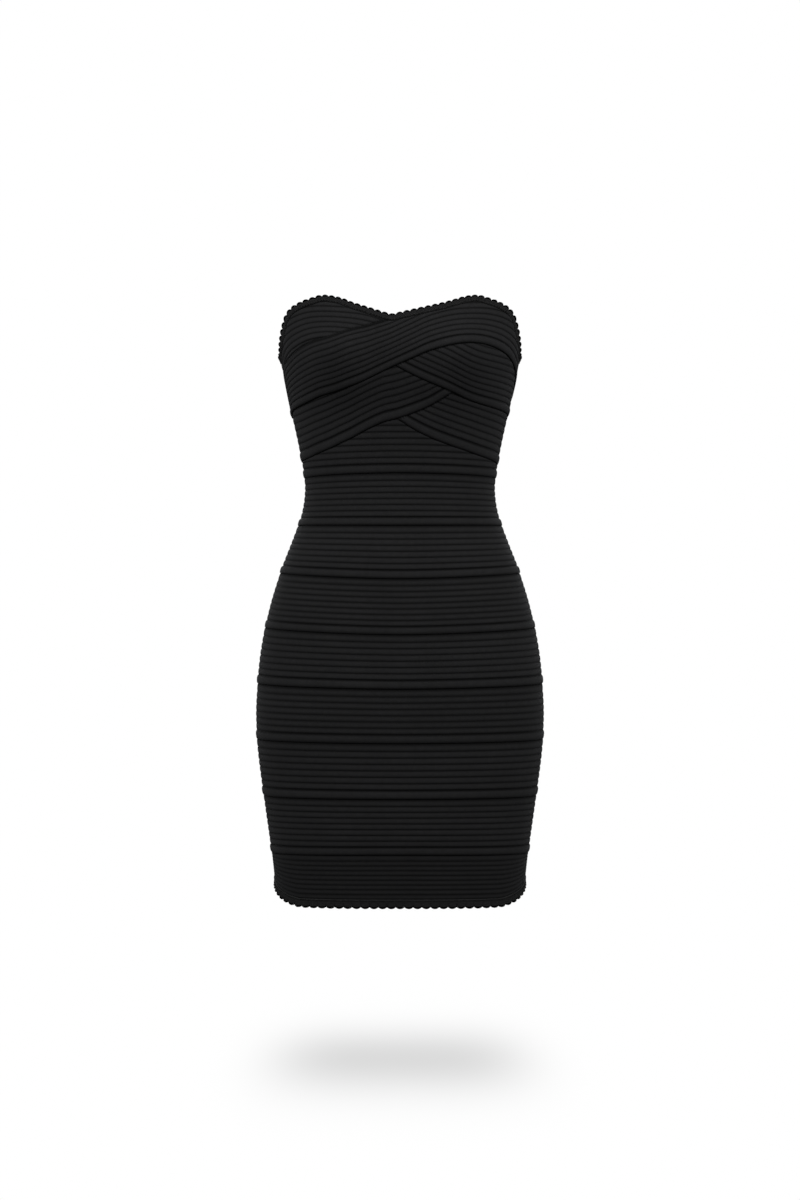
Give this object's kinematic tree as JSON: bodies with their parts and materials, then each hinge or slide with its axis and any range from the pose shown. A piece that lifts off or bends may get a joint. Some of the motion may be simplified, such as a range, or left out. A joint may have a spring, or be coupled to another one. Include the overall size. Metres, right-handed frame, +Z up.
{
  "type": "bodycon dress",
  "caption": "Short strapless ribbed knit dress in worn form, with crossing bust bands, horizontal bands, scalloped edges and a centre-back zip.",
  "frame": {"origin": "centre of the body inside the dress, level with the underarm corners of the top edge, where the wearer's bust holds it", "axes": "+Z up, the front faces -Y, +X is to the wearer's left"},
  "size_m": [0.339, 0.2349, 0.7072],
  "materials": {
    "knit": "dense ribbed bandage knit, soft matte with a faint sheen along the ribs",
    "trim": "knitted scalloped edging, matte",
    "zip_tape": "fine woven tape with a coil, matte",
    "zip_metal": "black lacquer, satin"
  },
  "bodies": {
    "root": {"bust_band_1": "knit", "bust_band_2_upper_left": "knit", "bust_band_2_lower_right": "knit", "bust_band_3": "knit", "bust_band_4": "knit", "underbust_band": "knit", "front_band_1": "knit", "front_band_2": "knit", "front_band_3": "knit", "front_band_4": "knit", "front_band_5": "knit", "front_band_6": "knit", "front_band_7": "knit", "front_band_8": "knit", "back_bust_1_left": "knit", "back_bust_1_right": "knit", "back_bust_2_left": "knit", "back_bust_2_right": "knit", "back_band_1_left": "knit", "back_band_1_right": "knit", "back_band_2_left": "knit", "back_band_2_right": "knit", "back_band_3_left": "knit", "back_band_3_right": "knit", "back_band_4_left": "knit", "back_band_4_right": "knit", "back_band_5_left": "knit", "back_band_5_right": "knit", "back_band_6_left": "knit", "back_band_6_right": "knit", "back_band_7_left": "knit", "back_band_7_right": "knit", "back_band_8_left": "knit", "back_band_8_right": "knit", "neck_trim_front": "trim", "neck_trim_back_left": "trim", "neck_trim_back_right": "trim", "hem_trim_front": "trim", "hem_trim_back_left": "trim", "hem_trim_back_right": "trim", "zip_tape_left": "zip_tape", "zip_tape_right": "zip_tape", "zip_coil": "zip_tape", "zip_slider": "zip_metal"},
    "pull_tab": {"zip_pull_tab": "zip_metal"}
  },
  "joints": [
    {"name": "pull_tab_swing", "type": "hinge", "parent": "root", "child": "pull_tab", "pos_m": [0, 0.09956, -0.009], "axis": [1, 0, 0], "range_deg": [0, 160]}
  ]
}
